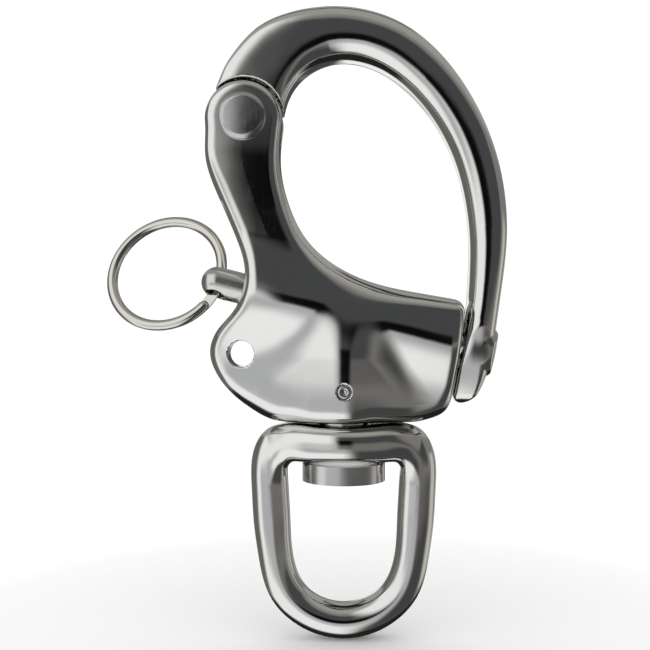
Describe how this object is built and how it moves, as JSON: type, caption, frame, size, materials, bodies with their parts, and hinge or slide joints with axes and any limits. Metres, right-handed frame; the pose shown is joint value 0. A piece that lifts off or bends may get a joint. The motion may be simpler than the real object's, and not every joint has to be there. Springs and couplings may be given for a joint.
{
  "type": "snap shackle",
  "caption": "Swivel snap shackle: hinged bow gate latched by a spring plunger with a pull ring, over a swivelling D-shaped bail.",
  "frame": {"origin": "centre of the round bottom of the bail eye, in the middle plane and on the swivel axis", "axes": "+Z along the swivel axis towards the bow of the gate, +X towards the gate tip, -Y the front face"},
  "size_m": [0.0775, 0.0179, 0.1199],
  "materials": {
    "polished_casting": "mirror-polished cast stainless steel",
    "turned_steel": "turned stainless steel, satin faces and bright chamfers",
    "spring_wire": "drawn stainless spring wire",
    "ring_wire": "polished flat stainless wire",
    "bearing_washer": "white low-friction plastic"
  },
  "bodies": {
    "bail": {"bail": "polished_casting"},
    "body": {"body": "polished_casting", "hinge_pin": "turned_steel", "swivel_post": "turned_steel", "post_lock_pin": "turned_steel", "plunger_bush": "turned_steel", "thrust_washer": "bearing_washer"},
    "gate": {"gate": "polished_casting"},
    "plunger_spring": {"plunger_spring": "spring_wire"},
    "plunger": {"plunger": "turned_steel"},
    "pull_ring": {"pull_ring": "ring_wire"}
  },
  "joints": [
    {"name": "swivel", "type": "hinge", "parent": "bail", "child": "body", "pos_m": [0, 0, 0.0172], "axis": [0, 0, 1], "continuous": true},
    {"name": "gate_hinge", "type": "hinge", "parent": "body", "child": "gate", "pos_m": [-0.0188, 0, 0.08175], "axis": [0, -1, 0], "range_deg": [0, 62]},
    {"name": "plunger_turn", "type": "hinge", "parent": "body", "child": "plunger_spring", "pos_m": [0, 0, 0.0451], "axis": [0.9681, 0, -0.2504], "continuous": true},
    {"name": "plunger_pull", "type": "slide", "parent": "plunger_spring", "child": "plunger", "axis": [-0.9681, 0, 0.2504], "range_m": [0, 0.004], "stiffness_N_per_m": 1500, "springref_m": -0.004, "deforming": ["plunger_spring"]},
    {"name": "ring_swing", "type": "hinge", "parent": "plunger", "child": "pull_ring", "pos_m": [-0.02382, 0, 0.05126], "axis": [0.2837, 0.3277, 0.9012], "range_deg": [-40, 40]}
  ]
}
